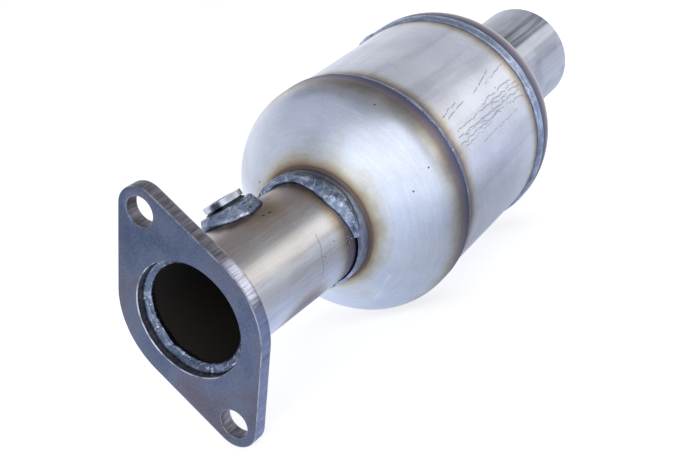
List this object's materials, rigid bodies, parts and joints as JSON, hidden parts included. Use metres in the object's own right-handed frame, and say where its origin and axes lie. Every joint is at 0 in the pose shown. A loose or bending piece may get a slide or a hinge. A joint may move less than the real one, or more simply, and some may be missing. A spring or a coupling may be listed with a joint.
{
  "type": "catalytic converter",
  "caption": "Round catalytic converter with domed ends, a two-bolt inlet flange on a short pipe with a sensor boss, and a plain outlet pipe.",
  "frame": {"origin": "centre of the inlet flange's gasket face", "axes": "+X along the inlet pipe with the gas, +Z through the upper bolt hole, -X is the way the flange faces"},
  "size_m": [0.3322, 0.1212, 0.1229],
  "materials": {
    "plate_steel": "blue-grey mill plate with sheared, striated edges",
    "weld_metal": "steel-blue rippled bead with glints",
    "tube_stainless": "satin drawn stainless tube with a straw tint",
    "turned_steel": "clean turned steel",
    "pressed_stainless": "satin pressed stainless with heat tint at its welds",
    "shell_stainless": "pale rolled stainless, finely scratched",
    "ceramic": "fired ceramic, matt",
    "fibre_mat": "pressed ceramic fibre",
    "knitted_wire": "compressed knitted wire"
  },
  "bodies": {
    "root": {"inlet_flange": "plate_steel", "inlet_flange_weld": "weld_metal", "inlet_pipe": "tube_stainless", "sensor_boss": "turned_steel", "sensor_boss_weld": "weld_metal", "inlet_cone": "pressed_stainless", "inlet_neck_weld": "weld_metal", "shell": "shell_stainless", "inlet_seam_weld": "weld_metal", "outlet_seam_weld": "weld_metal", "shell_joint_weld": "weld_metal", "ceramic_brick": "ceramic", "inlet_mat_seal": "knitted_wire", "support_mat": "fibre_mat", "outlet_mat_seal": "knitted_wire", "outlet_cone": "pressed_stainless", "outlet_neck_weld": "weld_metal", "outlet_pipe": "tube_stainless"}
  },
  "joints": []
}
